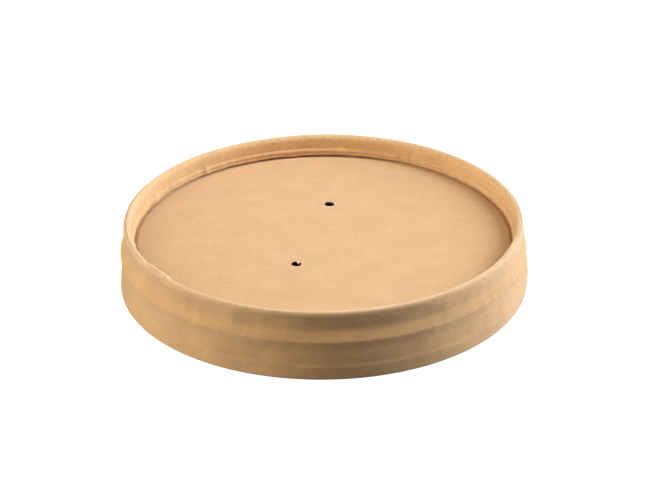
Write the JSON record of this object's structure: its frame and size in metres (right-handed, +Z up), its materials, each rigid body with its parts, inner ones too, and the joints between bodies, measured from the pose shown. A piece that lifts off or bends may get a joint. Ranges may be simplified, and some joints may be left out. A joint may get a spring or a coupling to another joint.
{
  "type": "paper soup container lid",
  "caption": "Round kraft paper lid: recessed top disc with small vent holes, held in a folded rim, and a flared skirt with an inward hem.",
  "frame": {"origin": "centre of the circle that the lid's foot rests on", "axes": "+Z up through the lid's middle, +X and +Y in the resting plane; the skirt's seam is at about 220 degrees from +X towards +Y"},
  "size_m": [0.117, 0.117, 0.0201],
  "materials": {
    "skirt_kraft": "uncoated kraft board, matt",
    "disc_kraft": "uncoated kraft board, matt"
  },
  "bodies": {
    "root": {"skirt": "skirt_kraft", "top_disc": "disc_kraft"}
  },
  "joints": []
}
